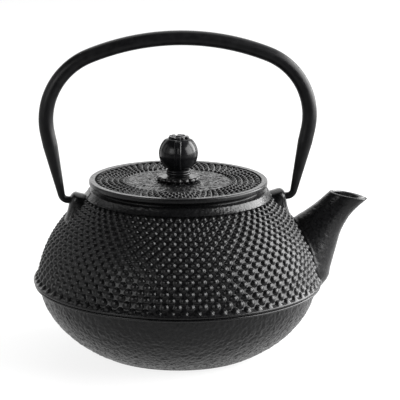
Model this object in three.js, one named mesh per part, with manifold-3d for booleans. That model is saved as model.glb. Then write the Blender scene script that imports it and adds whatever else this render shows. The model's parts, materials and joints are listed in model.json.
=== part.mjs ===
// Cast iron teapot: a hollow round pot with a spout and two ears, a lid with a ball knob,
// a bail that swings in the ears, and a lift-out stainless infuser.
// Millimetres, +Z up. The origin is on the pot's axis at the level it stands on, and +X points
// towards the spout. The bail swings about a line along X through both ears.
import * as THREE from 'three';
import { mergeVertices } from 'three/addons/utils/BufferGeometryUtils.js';
import Module from 'manifold-3d';

const wasm = await Module();
wasm.setup();

// ---- Driving dimensions ----

const POT = {
  footRadius: 47,
  wall: 4,
  floorTop: 5,
  bowlTopRadius: 80,
  bowlTopZ: 38.6,
  flangeRadius: 83,
  flangeTopZ: 41.6,
  shoulderFootRadius: 80.1,
  shoulderFootZ: 48.2,
  collarFootRadius: 54.5,
  collarFootZ: 89,
  collarTopRadius: 50.7,
  collarTopZ: 94,
  seatRingRadius: 48.3,
  seatZ: 96.6,
  mouthRadius: 43.2,
  ledgeRadius: 46.2,
  ledgeZ: 93.4,
};

const EAR = { width: 14, edge: 2 };

const HINGE = { z: 88.4, hookRadius: 2, holeRadius: 2.45, holeEndX: 54.5, hookTipX: 55.6 };

const BAIL = {
  radius: 4.2,
  crownTopZ: 184.7,
  crownBend: 137,
  shoulderBend: 38.7,
  shoulderStart: THREE.MathUtils.degToRad(21.7),
  legLean: THREE.MathUtils.degToRad(12),
  hookBend: 4,
  taperTopZ: 120,
  taperEndZ: 91,
};

const SPOUT = { wall: 2.6 };

const LID = {
  radius: 50.9,
  bottomZ: POT.seatZ,
  topZ: 99.5,
  rimRound: 1.2,
  skirtOuter: 41.2,
  skirtInner: 38.4,
  skirtBottomZ: 90.6,
  bossRadius: 9,
  bossBottomZ: 94.4,
};

const SEAT = { radius: 12.3, scallop: 0.3, lobes: 16, thickness: 2 };

const KNOB = {
  ballRadius: 11.1,
  ballZ: 114.45,
  grooveRadius: 6.4,
  beadRadius: 7.25,
  neckTopZ: 105.2,
  flowerRadius: 6.2,
  flowerZ: 123,
  flowerThickness: 1.5,
  holeTopZ: 110.6,
};

const SCREW = { radius: 2.2, tipZ: 110, headRadius: 4.6, headHeight: 2.6, slotWidth: 1.2, slotDepth: 1.2 };
const SCREW_HOLE = { tapped: 2.4, clearance: 2.7 };
const WASHER = { radius: 6.4, thickness: 1 };

const INFUSER = {
  flangeRadius: 45.8,
  flangeThickness: 0.8,
  neckOuter: 42.8,
  sheet: 0.8,
  stepZ: 84.6,
  collarOuter: 39.5,
  collarBottomZ: 81.5,
  sleeveOuter: 38.4,
  meshThickness: 0.5,
  sleeveBottomZ: 60.7,
  bottomZ: 59.6,
  bandHeight: 5.4,
  bandInnerRadius: 34,
  bandSheet: 0.6,
};

// Running gap left between pieces that would otherwise touch along a curved face.
const GAP = 0.3;

const ROUND = { body: 48, lid: 48, small: 28, hole: 20, tube: 12 };

// ---- Geometry helpers ----

const point = (radius, z) => new THREE.Vector2(radius, z);

// A closed mesh with one vertex for each corner and no zero-width triangles.
function closedMesh(geometry) {
  const bare = geometry.clone();
  bare.deleteAttribute('normal');
  bare.deleteAttribute('uv');
  const merged = mergeVertices(bare, 1e-4);
  const corners = merged.index.array;
  const kept = [];
  for (let i = 0; i < corners.length; i += 3) {
    const [a, b, c] = [corners[i], corners[i + 1], corners[i + 2]];
    if (a !== b && b !== c && c !== a) kept.push(a, b, c);
  }
  merged.setIndex(kept);
  return merged;
}

// Turned piece: the outline runs anticlockwise in the (radius, z) half plane.
function turned(outline, segments) {
  const geometry = new THREE.LatheGeometry(outline, segments);
  geometry.rotateX(Math.PI / 2);
  return closedMesh(geometry);
}

// Turned piece with a hole down its middle: the outline is closed on itself.
const turnedRing = (outline, segments) => turned([...outline, outline[0].clone()], segments);

// Flat plate of an (x, y) outline between two heights.
function plate(shape, bottomZ, thickness, bevel, curveSegments = 6) {
  const geometry = new THREE.ExtrudeGeometry(shape, {
    depth: thickness - 2 * bevel,
    bevelEnabled: bevel > 0,
    bevelSize: bevel,
    bevelOffset: -bevel,
    bevelThickness: bevel,
    bevelSegments: 1,
    curveSegments,
  });
  geometry.translate(0, 0, bottomZ + bevel);
  return closedMesh(geometry);
}

// Skin stretched over a row of rings that all have the same number of points, closed at both ends.
function loft(rings) {
  const count = rings[0].length;
  const middles = [rings[0], rings[rings.length - 1]].map((ring) => {
    const middle = new THREE.Vector3();
    for (const corner of ring) middle.add(corner);
    return middle.divideScalar(count);
  });
  const vertices = [...rings.flat(), ...middles];
  const startMiddle = vertices.length - 2;
  const endMiddle = vertices.length - 1;
  const lastRing = (rings.length - 1) * count;
  const faces = [];
  for (let k = 0; k < count; k += 1) {
    const next = (k + 1) % count;
    for (let i = 0; i < lastRing; i += count) {
      faces.push(i + k, i + next, i + count + k);
      faces.push(i + next, i + count + next, i + count + k);
    }
    faces.push(startMiddle, next, k);
    faces.push(endMiddle, lastRing + k, lastRing + next);
  }
  const geometry = new THREE.BufferGeometry();
  geometry.setFromPoints(vertices);
  geometry.setIndex(faces);
  return geometry;
}

function solid(geometry) {
  const mesh = closedMesh(geometry);
  return new wasm.Manifold(new wasm.Mesh({
    numProp: 3,
    vertProperties: new Float32Array(mesh.attributes.position.array),
    triVerts: new Uint32Array(mesh.index.array),
  }));
}

function fromSolid(result) {
  const { vertProperties, triVerts } = result.getMesh();
  const geometry = new THREE.BufferGeometry();
  geometry.setAttribute('position', new THREE.BufferAttribute(vertProperties, 3));
  geometry.setIndex(new THREE.BufferAttribute(triVerts, 1));
  return geometry;
}

// ---- Pot ----

// The bowl below the flange and the shoulder above it, each one smooth curve from bottom to top.
const bowlCurve = new THREE.CubicBezierCurve(
  point(POT.footRadius, 0),
  point(58.5, 5),
  point(77.1, 18.3),
  point(POT.bowlTopRadius, POT.bowlTopZ),
);
const shoulderCurve = new THREE.CubicBezierCurve(
  point(POT.shoulderFootRadius, POT.shoulderFootZ),
  point(76.4, 63.2),
  point(70.8, 73),
  point(POT.collarFootRadius, POT.collarFootZ),
);

function potOutside() {
  const bead = 82.5;
  const flareCurve = new THREE.QuadraticBezierCurve(
    point(POT.flangeRadius - 0.3, POT.flangeTopZ + 0.3),
    point(80.7, 44.6),
    point(POT.shoulderFootRadius, POT.shoulderFootZ),
  );
  return [
    point(0, 0),
    ...bowlCurve.getPoints(9),
    point(bead - 0.5, POT.bowlTopZ),
    point(bead, POT.bowlTopZ + 0.6),
    point(bead, 40),
    point(bead - 0.5, 40.5),
    point(POT.flangeRadius, 41),
    ...flareCurve.getPoints(3),
    ...shoulderCurve.getPoints(9).slice(1),
    point(POT.collarTopRadius + 0.3, POT.collarTopZ - 0.6),
    point(POT.collarTopRadius - 0.5, POT.collarTopZ),
    point(POT.seatRingRadius, POT.collarTopZ),
    point(POT.seatRingRadius, POT.seatZ),
    point(0, POT.seatZ),
  ];
}

// The curve moved towards the pot's axis, square to itself, by the wall's thickness.
function insetCurve(curve, divisions) {
  const points = [];
  for (let i = 0; i <= divisions; i += 1) {
    const at = curve.getPoint(i / divisions);
    const along = curve.getTangent(i / divisions);
    points.push(point(at.x - along.y * POT.wall, at.y + along.x * POT.wall));
  }
  return points;
}

function potInside() {
  const above = POT.seatZ + 2;
  const bowl = insetCurve(bowlCurve, 8).filter((at) => at.y > POT.floorTop + 0.5);
  return [
    point(0, POT.floorTop),
    point(bowl[0].x - 4, POT.floorTop),
    ...bowl,
    ...insetCurve(shoulderCurve, 7),
    point(POT.mouthRadius, POT.collarFootZ - 1),
    point(POT.mouthRadius, POT.ledgeZ),
    point(POT.ledgeRadius, POT.ledgeZ),
    point(POT.ledgeRadius, above),
    point(0, above),
  ];
}

// Sections of the spout from its root in the bowl to its mouth. Each is an ellipse, given by its
// upper and lower point in the plane y = 0 and by its whole width across that plane.
const SPOUT_SECTIONS = {
  upper: [[48, 50], [52, 60], [60, 68.5], [67.7, 75.3], [73.6, 79.1], [80, 83.6], [84, 87.1], [87.7, 90.6]],
  lower: [[79.5, 31], [86.9, 39.8], [88.9, 46.8], [91.8, 57.5], [94.6, 67.5], [99.3, 76], [104.4, 81.7], [109.7, 86.2]],
  width: [[40], [44], [34], [26.5], [22], [18.4], [16.8], [17]],
};

function curveThrough(points) {
  const corners = points.map(([x, z = 0]) => new THREE.Vector2(x, z));
  return new THREE.SplineCurve(corners);
}

// The spout's skin, moved inwards by inset; overrun carries the last section on past the mouth.
function spoutSkin(inset, overrun) {
  const steps = 12;
  const corners = 20;
  const upper = curveThrough(SPOUT_SECTIONS.upper);
  const lower = curveThrough(SPOUT_SECTIONS.lower);
  const width = curveThrough(SPOUT_SECTIONS.width);
  const rings = [];
  const addRing = (top, low, halfWidth) => {
    const middle = top.clone().add(low).multiplyScalar(0.5);
    const reach = low.clone().sub(middle);
    reach.setLength(reach.length() - inset);
    const ring = [];
    for (let k = 0; k < corners; k += 1) {
      const angle = (2 * Math.PI * k) / corners;
      ring.push(new THREE.Vector3(
        middle.x + reach.x * Math.cos(angle),
        (halfWidth - inset) * Math.sin(angle),
        middle.y + reach.y * Math.cos(angle),
      ));
    }
    rings.push(ring);
  };
  for (let i = 0; i <= steps; i += 1) {
    const t = i / steps;
    addRing(upper.getPoint(t), lower.getPoint(t), width.getPoint(t).x / 2);
  }
  if (overrun > 0) {
    const on = upper.getTangent(1).add(lower.getTangent(1)).setLength(overrun);
    addRing(upper.getPoint(1).add(on), lower.getPoint(1).add(on), width.getPoint(1).x / 2);
  }
  return loft(rings);
}

// One ear as a block on the shoulder, in the plane of the spout; side is 1 or -1 along X.
function ear(side) {
  const outline = new THREE.Shape([
    point(45, 91.8),
    point(45, 76),
    point(65.4, 76),
    point(63.2, 82.5),
    point(62.1, 88.4),
    point(61.2, 91.2),
    point(59, 92.8),
    point(52.6, 91.3),
  ].reverse());
  const geometry = new THREE.ExtrudeGeometry(outline, {
    depth: EAR.width - 2 * EAR.edge,
    bevelEnabled: true,
    bevelSize: EAR.edge,
    bevelOffset: -EAR.edge,
    bevelThickness: EAR.edge,
    bevelSegments: 2,
  });
  geometry.translate(0, 0, EAR.edge - EAR.width / 2);
  geometry.rotateX(Math.PI / 2);
  if (side < 0) geometry.rotateZ(Math.PI);
  return geometry;
}

// Blind hole in an ear that takes the bail's hook from outside.
function earHole(side) {
  const outerX = 70;
  const geometry = new THREE.CylinderGeometry(
    HINGE.holeRadius,
    HINGE.holeRadius,
    outerX - HINGE.holeEndX,
    ROUND.tube,
  );
  geometry.rotateZ(Math.PI / 2);
  geometry.translate((side * (outerX + HINGE.holeEndX)) / 2, 0, HINGE.z);
  return geometry;
}

function potBody() {
  let pot = solid(turned(potOutside(), ROUND.body)).add(solid(spoutSkin(0, 0)));
  for (const side of [1, -1]) pot = pot.add(solid(ear(side)));
  pot = pot.subtract(solid(turned(potInside(), ROUND.body)));
  pot = pot.subtract(solid(spoutSkin(SPOUT.wall, 6)));
  for (const side of [1, -1]) pot = pot.subtract(solid(earHole(side)));
  return fromSolid(pot);
}

// ---- Bail ----

// Half of the bail's centre line, from the tip of its hook up to the middle of the crown.
function bailHalfLine() {
  const { crownBend, shoulderBend, shoulderStart, legLean, hookBend, radius } = BAIL;
  const crownMiddle = point(0, BAIL.crownTopZ - radius - crownBend);
  const toShoulder = point(Math.sin(shoulderStart), Math.cos(shoulderStart));
  const shoulderMiddle = toShoulder.multiplyScalar(crownBend - shoulderBend).add(crownMiddle);
  const legTop = point(
    shoulderMiddle.x + shoulderBend * Math.cos(legLean),
    shoulderMiddle.y - shoulderBend * Math.sin(legLean),
  );
  const legX = (z) => legTop.x - (legTop.y - z) * Math.tan(legLean);
  const hookMiddle = point(
    legX(HINGE.z + hookBend) - hookBend / Math.cos(legLean),
    HINGE.z + hookBend,
  );
  const line = new THREE.Path();
  line.moveTo(HINGE.hookTipX, HINGE.z);
  line.absarc(hookMiddle.x, hookMiddle.y, hookBend, -Math.PI / 2, -legLean, false);
  line.lineTo(legX(105), 105);
  line.lineTo(legX(BAIL.taperTopZ), BAIL.taperTopZ);
  line.absarc(shoulderMiddle.x, shoulderMiddle.y, shoulderBend, -legLean, Math.PI / 2 - shoulderStart, false);
  line.absarc(0, crownMiddle.y, crownBend, Math.PI / 2 - shoulderStart, Math.PI / 2, false);
  return line.getPoints(4);
}

function bailThickness(z) {
  const share = THREE.MathUtils.clamp((z - BAIL.taperEndZ) / (BAIL.taperTopZ - BAIL.taperEndZ), 0, 1);
  return THREE.MathUtils.lerp(HINGE.hookRadius, BAIL.radius, share);
}

function bail() {
  const half = bailHalfLine();
  const mirrored = half.slice(0, -1).reverse().map((at) => point(-at.x, at.y));
  const line = [...half, ...mirrored];
  const rings = line.map((at, i) => {
    const before = line[Math.max(i - 1, 0)];
    const after = line[Math.min(i + 1, line.length - 1)];
    const along = after.clone().sub(before).normalize();
    const radius = bailThickness(at.y);
    const ring = [];
    for (let k = 0; k < ROUND.tube; k += 1) {
      const angle = (2 * Math.PI * k) / ROUND.tube;
      const out = radius * Math.cos(angle);
      ring.push(new THREE.Vector3(at.x + along.y * out, radius * Math.sin(angle), at.y - along.x * out));
    }
    return ring;
  });
  return closedMesh(loft(rings));
}

// ---- Lid, knob and what holds the knob ----

function lid() {
  const { radius, bottomZ, topZ, rimRound, skirtOuter, skirtInner, skirtBottomZ, bossRadius } = LID;
  return turnedRing([
    point(SCREW_HOLE.clearance, LID.bossBottomZ),
    point(bossRadius, LID.bossBottomZ),
    point(bossRadius, bottomZ),
    point(skirtInner, bottomZ),
    point(skirtInner, skirtBottomZ),
    point(skirtOuter, skirtBottomZ),
    point(skirtOuter, bottomZ),
    point(radius - 0.8, bottomZ),
    point(radius, bottomZ + 0.8),
    point(radius, topZ - rimRound),
    point(radius - 0.4, topZ - 0.4),
    point(radius - rimRound, topZ),
    point(SCREW_HOLE.clearance, topZ),
  ], ROUND.lid);
}

// Outline that swells and shrinks round a circle, once for each lobe.
function lobedShape(radius, depth, lobes, stepsPerLobe) {
  const corners = [];
  const steps = lobes * stepsPerLobe;
  for (let i = 0; i < steps; i += 1) {
    const angle = (2 * Math.PI * i) / steps;
    const reach = radius + depth * Math.cos(lobes * angle);
    corners.push(point(reach * Math.cos(angle), reach * Math.sin(angle)));
  }
  return new THREE.Shape(corners);
}

function knobSeat() {
  const shape = lobedShape(SEAT.radius, SEAT.scallop, SEAT.lobes, 4);
  const hole = new THREE.Path();
  hole.absarc(0, 0, SCREW_HOLE.clearance, 0, 2 * Math.PI, true);
  shape.holes.push(hole);
  return plate(shape, LID.topZ, SEAT.thickness, 0, 12);
}

function knobTurned() {
  const { ballRadius, ballZ, grooveRadius, beadRadius, neckTopZ } = KNOB;
  const foot = LID.topZ + SEAT.thickness;
  const ballFlatZ = KNOB.flowerZ + 0.4;
  const ballStart = Math.asin((neckTopZ - ballZ) / ballRadius);
  const ballEnd = Math.asin((ballFlatZ - ballZ) / ballRadius);
  const ball = [];
  const steps = 10;
  for (let i = 0; i <= steps; i += 1) {
    const angle = THREE.MathUtils.lerp(ballStart, ballEnd, i / steps);
    ball.push(point(ballRadius * Math.cos(angle), ballZ + ballRadius * Math.sin(angle)));
  }
  return turned([
    point(0, KNOB.holeTopZ),
    point(SCREW_HOLE.tapped, KNOB.holeTopZ),
    point(SCREW_HOLE.tapped, foot),
    point(grooveRadius, foot),
    point(grooveRadius, foot + 1.2),
    point(beadRadius, foot + 1.8),
    point(beadRadius, neckTopZ - 0.6),
    point(beadRadius - 0.6, neckTopZ),
    ...ball,
    point(0, ballFlatZ),
  ], ROUND.small);
}

function knob() {
  const petals = lobedShape(KNOB.flowerRadius - 0.5, 0.5, 5, 8);
  const flower = plate(petals, KNOB.flowerZ, KNOB.flowerThickness, 0.4);
  const boss = new THREE.CylinderGeometry(1.5, 1.9, 0.6, ROUND.tube);
  boss.rotateX(Math.PI / 2);
  boss.translate(0, 0, KNOB.flowerZ + KNOB.flowerThickness);
  return fromSolid(solid(knobTurned()).add(solid(flower)).add(solid(boss)));
}

function knobWasher() {
  const top = LID.bossBottomZ;
  const bottom = top - WASHER.thickness;
  return turnedRing([
    point(SCREW_HOLE.clearance, bottom),
    point(WASHER.radius, bottom),
    point(WASHER.radius, top),
    point(SCREW_HOLE.clearance, top),
  ], ROUND.hole);
}

function knobScrew() {
  const headTop = LID.bossBottomZ - WASHER.thickness;
  const headBottom = headTop - SCREW.headHeight;
  const screw = turned([
    point(0, headBottom),
    point(SCREW.headRadius - 1.2, headBottom),
    point(SCREW.headRadius, headTop - 1),
    point(SCREW.headRadius, headTop),
    point(SCREW.radius, headTop),
    point(SCREW.radius, SCREW.tipZ - 0.8),
    point(SCREW.radius - 0.8, SCREW.tipZ),
    point(0, SCREW.tipZ),
  ], ROUND.hole);
  const slot = new THREE.BoxGeometry(3 * SCREW.headRadius, SCREW.slotWidth, 2 * SCREW.slotDepth);
  slot.translate(0, 0, headBottom);
  return fromSolid(solid(screw).subtract(solid(slot)));
}

// ---- Infuser ----

function infuserRim() {
  const { flangeRadius, neckOuter, sheet, stepZ, collarOuter, collarBottomZ } = INFUSER;
  const top = POT.ledgeZ + INFUSER.flangeThickness;
  const stepDrop = 1.2;
  return turnedRing([
    point(collarOuter - sheet, collarBottomZ),
    point(collarOuter, collarBottomZ),
    point(collarOuter, stepZ - stepDrop),
    point(neckOuter, stepZ),
    point(neckOuter, POT.ledgeZ),
    point(flangeRadius, POT.ledgeZ),
    point(flangeRadius, top),
    point(neckOuter - sheet, top),
    point(neckOuter - sheet, stepZ + sheet),
    point(collarOuter - sheet, stepZ - stepDrop + sheet),
  ], ROUND.lid);
}

function infuserSleeve() {
  const { sleeveOuter, meshThickness, sleeveBottomZ, stepZ } = INFUSER;
  const top = stepZ - 1;
  return turnedRing([
    point(sleeveOuter - meshThickness, sleeveBottomZ),
    point(sleeveOuter, sleeveBottomZ),
    point(sleeveOuter, top),
    point(sleeveOuter - meshThickness, top),
  ], ROUND.lid);
}

function infuserBaseBand() {
  const { sleeveOuter, bandSheet, bottomZ, bandHeight, bandInnerRadius } = INFUSER;
  const inner = sleeveOuter + GAP;
  const outer = inner + bandSheet;
  return turnedRing([
    point(bandInnerRadius, bottomZ),
    point(outer, bottomZ),
    point(outer, bottomZ + bandHeight),
    point(inner, bottomZ + bandHeight),
    point(inner, bottomZ + bandSheet),
    point(bandInnerRadius, bottomZ + bandSheet),
  ], ROUND.lid);
}

function infuserBaseMesh() {
  const { sleeveOuter, meshThickness, sleeveBottomZ } = INFUSER;
  const radius = sleeveOuter - meshThickness - GAP;
  return turned([
    point(0, sleeveBottomZ),
    point(radius, sleeveBottomZ),
    point(radius, sleeveBottomZ + meshThickness),
    point(0, sleeveBottomZ + meshThickness),
  ], ROUND.lid);
}

// ---- Assembly ----

const FINISH = {
  castIron: { color: 0x2b2b2d, roughness: 0.55, metalness: 0.6 },
  bailBlack: { color: 0x1c1c1e, roughness: 0.4, metalness: 0.5 },
  glossBlack: { color: 0x101012, roughness: 0.2, metalness: 0.5 },
  steel: { color: 0xb9bbbd, roughness: 0.3, metalness: 1 },
  steelMesh: { color: 0xa6a8aa, roughness: 0.45, metalness: 1 },
};

function piece(name, geometry, finish) {
  geometry.computeVertexNormals();
  const mesh = new THREE.Mesh(geometry, new THREE.MeshStandardMaterial(FINISH[finish]));
  mesh.name = name;
  return mesh;
}

const lidGroup = new THREE.Group();
lidGroup.add(
  piece('lid', lid(), 'castIron'),
  piece('knob_seat', knobSeat(), 'castIron'),
  piece('knob', knob(), 'glossBlack'),
  piece('knob_washer', knobWasher(), 'steel'),
  piece('knob_screw', knobScrew(), 'steel'),
);

const infuserGroup = new THREE.Group();
infuserGroup.add(
  piece('infuser_rim', infuserRim(), 'steel'),
  piece('infuser_sleeve', infuserSleeve(), 'steelMesh'),
  piece('infuser_base_band', infuserBaseBand(), 'steel'),
  piece('infuser_base_mesh', infuserBaseMesh(), 'steelMesh'),
  lidGroup,
);

const teapot = new THREE.Group();
teapot.add(
  piece('pot_body', potBody(), 'castIron'),
  piece('bail', bail(), 'bailBlack'),
  infuserGroup,
);

export default teapot;
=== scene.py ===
import json
import math

import bpy
import numpy as np
from mathutils import Matrix, Vector
from mathutils.kdtree import KDTree


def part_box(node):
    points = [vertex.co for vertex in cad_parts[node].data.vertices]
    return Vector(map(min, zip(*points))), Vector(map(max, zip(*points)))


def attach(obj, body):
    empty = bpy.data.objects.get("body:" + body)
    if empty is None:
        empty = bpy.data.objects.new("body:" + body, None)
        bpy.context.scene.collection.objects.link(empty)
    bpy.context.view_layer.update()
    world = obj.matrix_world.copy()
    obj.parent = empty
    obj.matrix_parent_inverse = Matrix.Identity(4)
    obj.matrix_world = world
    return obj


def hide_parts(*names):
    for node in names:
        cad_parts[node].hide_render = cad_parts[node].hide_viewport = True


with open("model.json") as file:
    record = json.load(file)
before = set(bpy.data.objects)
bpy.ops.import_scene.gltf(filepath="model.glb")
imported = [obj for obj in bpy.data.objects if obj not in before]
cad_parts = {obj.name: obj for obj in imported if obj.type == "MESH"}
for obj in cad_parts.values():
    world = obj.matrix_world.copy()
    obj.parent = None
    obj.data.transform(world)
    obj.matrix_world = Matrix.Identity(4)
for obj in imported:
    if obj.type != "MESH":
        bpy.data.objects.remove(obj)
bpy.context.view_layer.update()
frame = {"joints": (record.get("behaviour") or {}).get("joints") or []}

# The object is modelled in millimetres, Z up, on the pot's axis, and scaled to metres at the end.
MM = 0.001


def box_mm(node):
    """Lowest and highest corner of a CAD node."""
    low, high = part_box(node)
    return np.array(low) / MM, np.array(high) / MM


pot_high = box_mm("pot_body")[1]
lid_low, lid_high = box_mm("lid")
seat_low, seat_high = box_mm("knob_seat")
knob_low, knob_high = box_mm("knob")
washer_low, washer_high = box_mm("knob_washer")
screw_low, screw_high = box_mm("knob_screw")
bail_high = box_mm("bail")[1]
rim_low, rim_high = box_mm("infuser_rim")
sleeve_low, sleeve_high = box_mm("infuser_sleeve")
band_low, band_high = box_mm("infuser_base_band")
disc_low, disc_high = box_mm("infuser_base_mesh")
hinge = np.array(next(j for j in frame["joints"] if j["name"] == "bail_swing")["pos_m"]) / MM

SEAT_Z = pot_high[2]
LID_RADIUS = lid_high[1]
LID_TOP = lid_high[2]
KNOB_RADIUS = knob_high[1]
BAIL_RADIUS = bail_high[1]
BAIL_TOP = bail_high[2]

WALL = 4.0
FOOT_RADIUS = 47.0
BOWL_TOP = (80.0, 38.6)
SHOULDER_FOOT = (80.1, 48.2)
COLLAR_FOOT = (54.5, 89.0)
COLLAR_TOP = (50.7, 94.0)
MOUTH_RADIUS = 43.2
LEDGE_RADIUS = 46.2
LEDGE_Z = 93.4
FLOOR_TOP = 5.0

# Columns of points round the pot: a whole number for each stud.
STUDS_ROUND = 71
COLUMNS = 14 * STUDS_ROUND


# ---- Curves and surfaces ----

def bezier(corners, steps):
    """Points of the Bezier curve that these corners pull."""
    t = np.linspace(0, 1, steps + 1)[:, None]
    points = [np.array([corner], float) for corner in corners]
    while len(points) > 1:
        points = [a * (1 - t) + b * t for a, b in zip(points, points[1:])]
    return points[0]


def arc(centre, radius, start, end, steps):
    """Points of an arc between two angles in degrees."""
    angle = np.radians(np.linspace(start, end, steps + 1))
    return np.stack([centre[0] + radius * np.cos(angle), centre[1] + radius * np.sin(angle)], 1)


def spline(corners, t):
    """Points of the Catmull-Rom curve through the corners, at shares t of its length in corners."""
    corners = np.array(corners, float)
    last = len(corners) - 1
    place = np.clip(np.asarray(t, float), 0, 1) * last
    i = np.minimum(place.astype(int), last - 1)
    u = (place - i)[:, None]
    p0, p1 = corners[np.maximum(i - 1, 0)], corners[i]
    p2, p3 = corners[i + 1], corners[np.minimum(i + 2, last)]
    v1, v2 = (p2 - p0) / 2, (p3 - p1) / 2
    return (2 * p1 - 2 * p2 + v1 + v2) * u**3 + (-3 * p1 + 3 * p2 - 2 * v1 - v2) * u**2 + v1 * u + p1


def lengths(points):
    """How far along a line of points each of them lies."""
    steps = np.linalg.norm(np.diff(points, axis=0), axis=1)
    return np.concatenate([[0], np.cumsum(steps)])


def along(points, places):
    """The points at these distances along a line of points."""
    reach = lengths(points)
    return np.stack([np.interp(places, reach, points[:, k]) for k in range(points.shape[1])], 1)


def step_up(value, low, high):
    """A smooth step from 0 at low to 1 at high."""
    t = np.clip((value - low) / (high - low), 0, 1)
    return t * t * (3 - 2 * t)


def outward(outline):
    """Unit normals of an outline that runs up the outside of a turned shape."""
    tangent = np.gradient(outline, axis=0)
    normal = np.stack([tangent[:, 1], -tangent[:, 0]], 1)
    return normal / np.linalg.norm(normal, axis=1, keepdims=True)


def turned(outline, around, raised=0.0):
    """Rings of points for an outline of (radius, height) turned round the Z axis. raised moves each
    point along the outline's normal."""
    outline = np.array(outline, float)
    normal = outward(outline)
    angle = 2 * np.pi * np.arange(around) / around
    raised = raised + np.zeros((len(outline), around))
    radius = outline[:, :1] + normal[:, :1] * raised
    height = outline[:, 1:] + normal[:, 1:] * raised
    return np.stack([radius * np.cos(angle), radius * np.sin(angle), height], -1)


def skin(rings, ends=None):
    """Vertices and faces over rings of points. Two end points close it with a fan each; without
    them the last ring joins the first."""
    count, around = rings.shape[:2]
    index = np.arange(count * around).reshape(count, around)
    low = index if ends is None else index[:-1]
    high = np.roll(index, -1, 0) if ends is None else index[1:]
    faces = np.stack([low, np.roll(low, -1, 1), np.roll(high, -1, 1), high], -1).reshape(-1, 4).tolist()
    vertices = rings.reshape(-1, 3)
    if ends is not None:
        first, last = count * around, count * around + 1
        bottom, top = index[0], index[-1]
        faces += np.stack([np.full(around, first), np.roll(bottom, -1), bottom], -1).tolist()
        faces += np.stack([np.full(around, last), top, np.roll(top, -1)], -1).tolist()
        vertices = np.vstack([vertices, ends])
    return vertices, faces


def roughness_at(points, size, seed):
    """Smooth random relief, from -1 to 1, with bumps of about this size."""
    cells = 64
    keeps_positive = 1000.0
    lattice = np.random.default_rng(seed).uniform(-1, 1, (cells, cells, cells))
    place = np.asarray(points) / size + keeps_positive
    whole = np.floor(place).astype(int)
    u = place - whole
    u = u * u * (3 - 2 * u)
    total = np.zeros(place.shape[:-1])
    for dx in (0, 1):
        for dy in (0, 1):
            for dz in (0, 1):
                corner = (whole + (dx, dy, dz)) % cells
                share = np.ones(total.shape)
                for axis, d in enumerate((dx, dy, dz)):
                    share = share * (u[..., axis] if d else 1 - u[..., axis])
                total += share * lattice[corner[..., 0], corner[..., 1], corner[..., 2]]
    return total


def new_object(name, vertices, faces, *materials):
    """A mesh object from points in millimetres."""
    mesh = bpy.data.meshes.new(name)
    mesh.from_pydata((np.asarray(vertices) * MM).tolist(), [], faces)
    for material in materials:
        mesh.materials.append(material)
    mesh.update()
    made = bpy.data.objects.new(name, mesh)
    bpy.context.scene.collection.objects.link(made)
    return made


def apply_modifiers(made):
    """Turns the object's modifiers into mesh."""
    graph = bpy.context.evaluated_depsgraph_get()
    mesh = bpy.data.meshes.new_from_object(made.evaluated_get(graph))
    old = made.data
    made.modifiers.clear()
    made.data = mesh
    bpy.data.meshes.remove(old)


def join_and_cut(made, joined, cutters):
    """Adds the joined solids to the made one and takes the cutters away from it."""
    for operation, others in (("UNION", joined), ("DIFFERENCE", cutters)):
        for other in others:
            boolean = made.modifiers.new(operation, "BOOLEAN")
            boolean.operation = operation
            boolean.solver = "MANIFOLD"
            boolean.material_mode = "TRANSFER"
            boolean.object = other
            before = len(made.data.polygons)
            apply_modifiers(made)
            if len(made.data.polygons) == before:
                raise RuntimeError(f"{operation} of {made.name} and {other.name} changed nothing")
    for other in [*joined, *cutters]:
        bpy.data.objects.remove(other)


def finish_piece(made, body, nodes, sharp=50):
    """Smooth shading with sharp edges, then the body it rides on and the CAD nodes it
    replaces."""
    made.data.shade_smooth()
    made.data.set_sharp_from_angle(angle=math.radians(sharp))
    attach(made, body)
    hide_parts(*nodes)
    return made


# ---- Materials ----

def new_material(name):
    """A new material, with its nodes, its links and its shader."""
    material = bpy.data.materials.new(name)
    material.use_nodes = True
    nodes, links = material.node_tree.nodes, material.node_tree.links
    return material, nodes, links, nodes["Principled BSDF"]


def speckle(nodes, links, place, size_mm):
    """Noise with spots of about this size."""
    noise = nodes.new("ShaderNodeTexNoise")
    noise.inputs["Scale"].default_value = 1 / (size_mm * MM)
    noise.inputs["Detail"].default_value = 2.0
    links.new(place.outputs["Object"], noise.inputs["Vector"])
    return noise


def surface(name, dark, light, matt, gloss, coarse, fine, relief_mm, metallic=0.0, specular=0.5):
    """A finish whose colour runs from dark to light and whose roughness runs from gloss to matt in
    coarse spots, with a relief of fine ones."""
    low, high = 0.35, 0.65
    material, nodes, links, shader = new_material(name)
    place = nodes.new("ShaderNodeTexCoord")
    coarse_noise = speckle(nodes, links, place, coarse)
    fine_noise = speckle(nodes, links, place, fine)
    colour = nodes.new("ShaderNodeValToRGB")
    colour.color_ramp.elements[0].position = low
    colour.color_ramp.elements[0].color = (*dark, 1)
    colour.color_ramp.elements[1].position = high
    colour.color_ramp.elements[1].color = (*light, 1)
    links.new(coarse_noise.outputs["Fac"], colour.inputs["Fac"])
    links.new(colour.outputs["Color"], shader.inputs["Base Color"])
    rough = nodes.new("ShaderNodeMapRange")
    rough.inputs["From Min"].default_value = low
    rough.inputs["From Max"].default_value = high
    rough.inputs["To Min"].default_value = gloss
    rough.inputs["To Max"].default_value = matt
    links.new(coarse_noise.outputs["Fac"], rough.inputs["Value"])
    links.new(rough.outputs["Result"], shader.inputs["Roughness"])
    bump = nodes.new("ShaderNodeBump")
    bump.inputs["Strength"].default_value = 1.0
    bump.inputs["Distance"].default_value = relief_mm * MM
    links.new(fine_noise.outputs["Fac"], bump.inputs["Height"])
    links.new(bump.outputs["Normal"], shader.inputs["Normal"])
    shader.inputs["Metallic"].default_value = metallic
    shader.inputs["Specular IOR Level"].default_value = specular
    return material


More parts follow.
